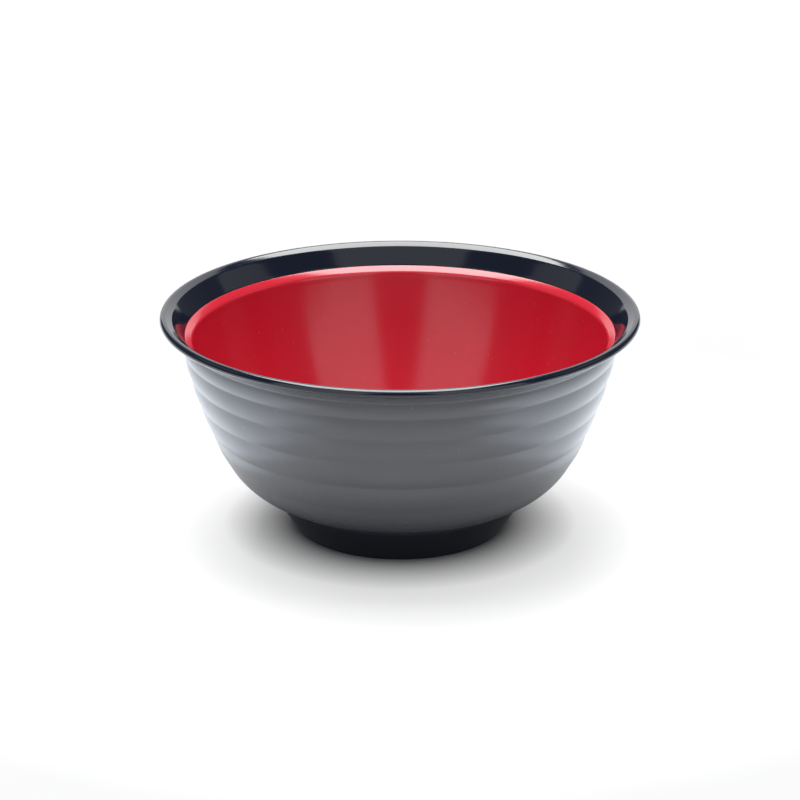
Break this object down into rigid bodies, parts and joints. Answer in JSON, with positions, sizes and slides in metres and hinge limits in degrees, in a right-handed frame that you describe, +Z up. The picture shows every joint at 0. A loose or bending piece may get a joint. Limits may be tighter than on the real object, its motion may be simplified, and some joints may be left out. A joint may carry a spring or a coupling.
{
  "type": "soup bowl",
  "caption": "Round two-tone melamine soup bowl: black stepped shell with a flared lip and a foot ring, and a red liner bonded into it below the lip.",
  "frame": {"origin": "centre of the foot ring's standing face, on the table", "axes": "+Z up along the bowl's axis of revolution; X and Y are free, because the bowl is round"},
  "size_m": [0.18, 0.18, 0.0847],
  "materials": {
    "black_melamine": "Black melamine: satin on the stepped wall, gloss on the lip, the band inside it and the foot ring",
    "red_melamine": "Red melamine with a smooth glossy face"
  },
  "bodies": {
    "root": {"outer_shell": "black_melamine", "inner_liner": "red_melamine"}
  },
  "joints": []
}
